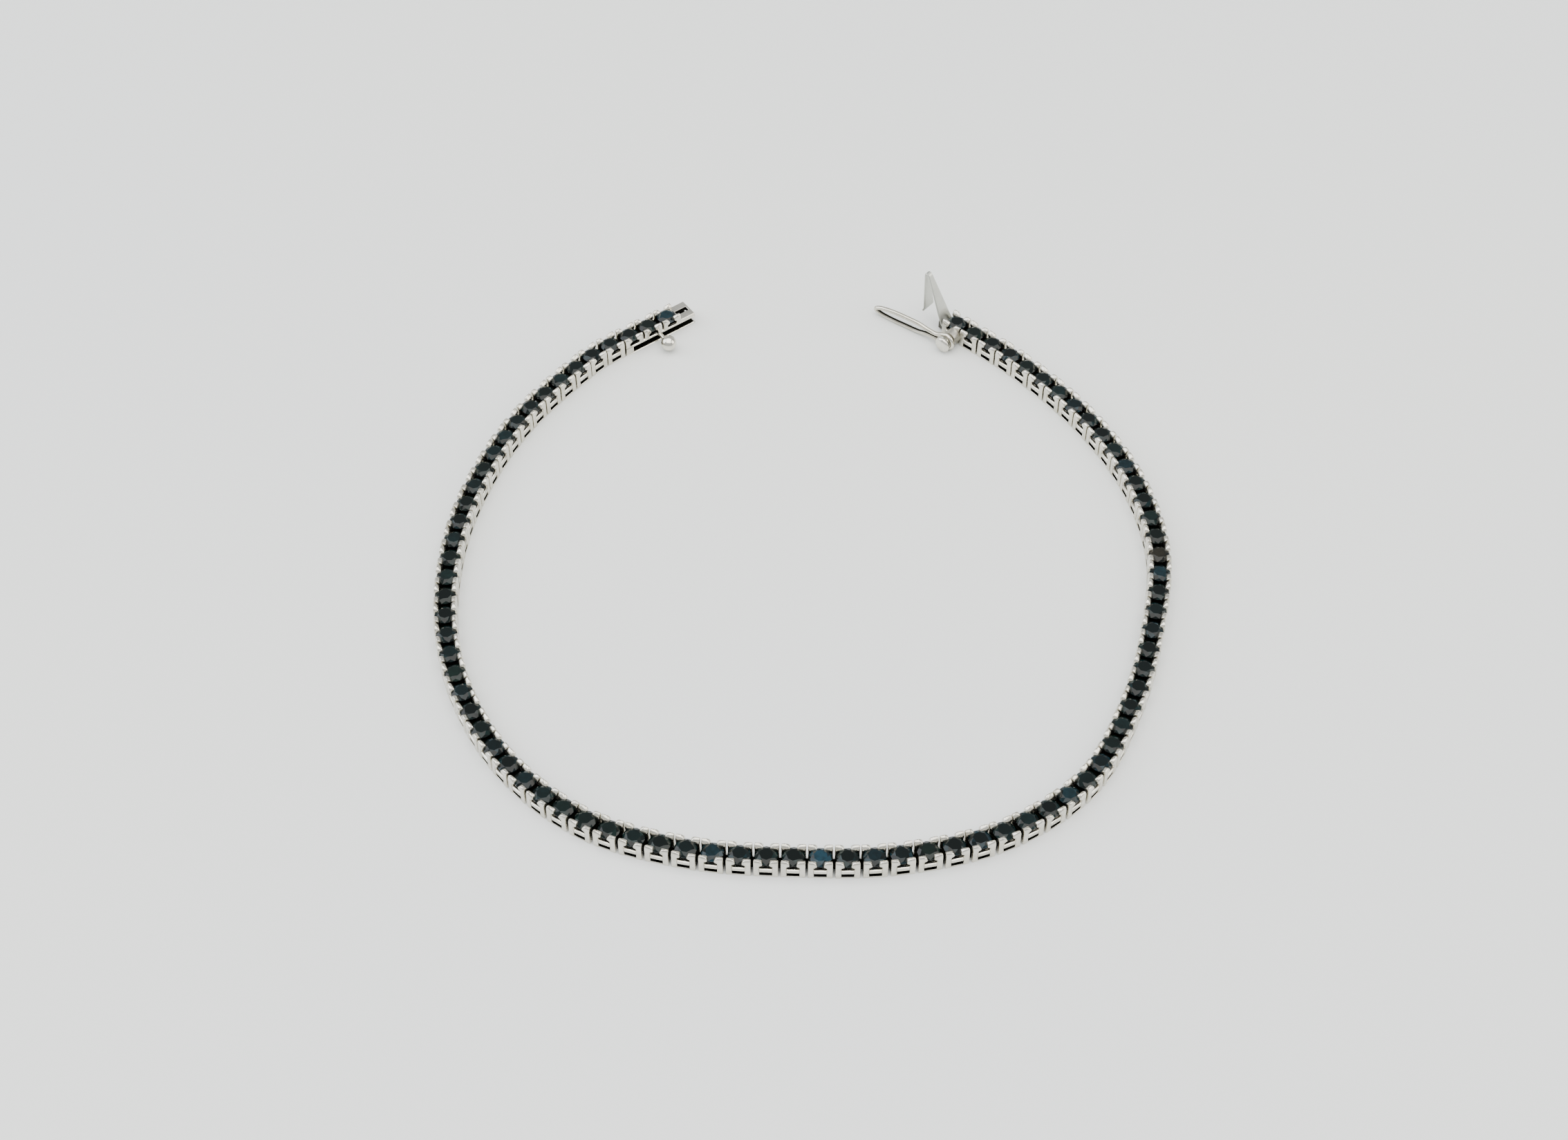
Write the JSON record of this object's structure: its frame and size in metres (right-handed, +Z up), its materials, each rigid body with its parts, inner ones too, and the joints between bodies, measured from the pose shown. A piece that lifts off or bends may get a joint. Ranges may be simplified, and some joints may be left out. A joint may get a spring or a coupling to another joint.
{
  "type": "tennis bracelet",
  "caption": "Open tennis bracelet of square four-prong baskets with round cut stones, a box clasp with a spring tongue and a side safety catch.",
  "frame": {"origin": "on the surface that the bracelet lies on, under the middle of its bounding box", "axes": "+Z up, the way the stones face; +Y towards the open clasp; +X to the right as seen from the front of the loop"},
  "size_m": [0.0644, 0.0651, 0.0058],
  "materials": {
    "clasp_box": "polished white metal with dark cut stones",
    "chain": "polished white metal with dark cut stones",
    "clasp_tongue": "polished white metal, with a duller spring strip",
    "safety_catch": "polished white metal wire",
    "stone": "dark faceted stone with blue and green lights"
  },
  "bodies": {
    "bracelet": {"clasp_box": "clasp_box", "chain_left": "chain", "chain_right": "chain", "clasp_tongue": "clasp_tongue"},
    "catch": {"safety_catch": "safety_catch"}
  },
  "joints": [
    {"name": "catch_hinge", "type": "hinge", "parent": "bracelet", "child": "catch", "pos_m": [0.01362, 0.02717, 0.00095], "axis": [0.6594, 0.7518, 0], "range_deg": [0, 165]}
  ]
}
